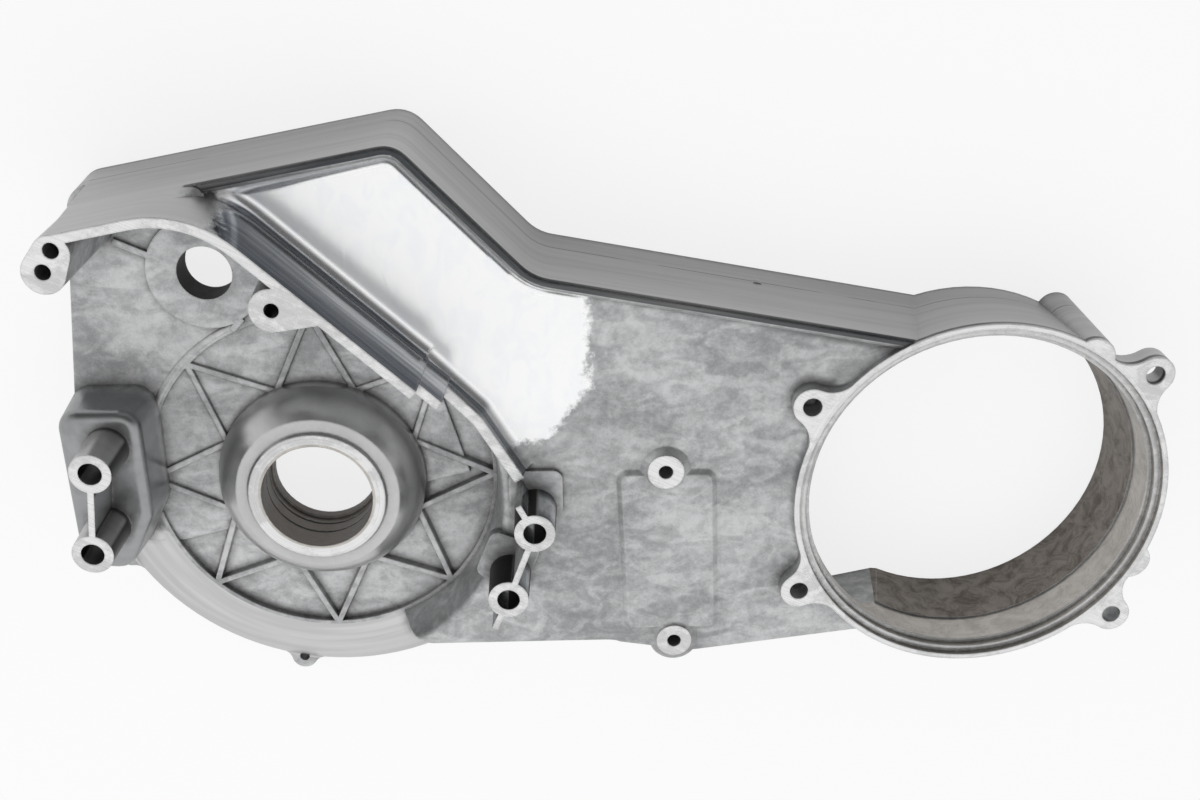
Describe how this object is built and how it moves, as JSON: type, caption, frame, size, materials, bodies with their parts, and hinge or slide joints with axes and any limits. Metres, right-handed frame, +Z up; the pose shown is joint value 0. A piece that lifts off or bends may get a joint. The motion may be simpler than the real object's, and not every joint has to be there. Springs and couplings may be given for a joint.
{
  "type": "inner primary cover",
  "caption": "Long pan-shaped alloy casting that joins an engine ring to a ribbed clutch bowl, with a starter web, tall curved wall and hollow posts.",
  "frame": {"origin": "middle of the bounding box at the gasket face", "axes": "+X along the length towards the engine ring, +Z up from the gasket face to the inboard side"},
  "size_m": [0.5372, 0.3034, 0.1],
  "materials": {
    "cast_alloy": "as cast, with polished walls and machined faces"
  },
  "bodies": {
    "root": {"cover_casting": "cast_alloy"}
  },
  "joints": []
}
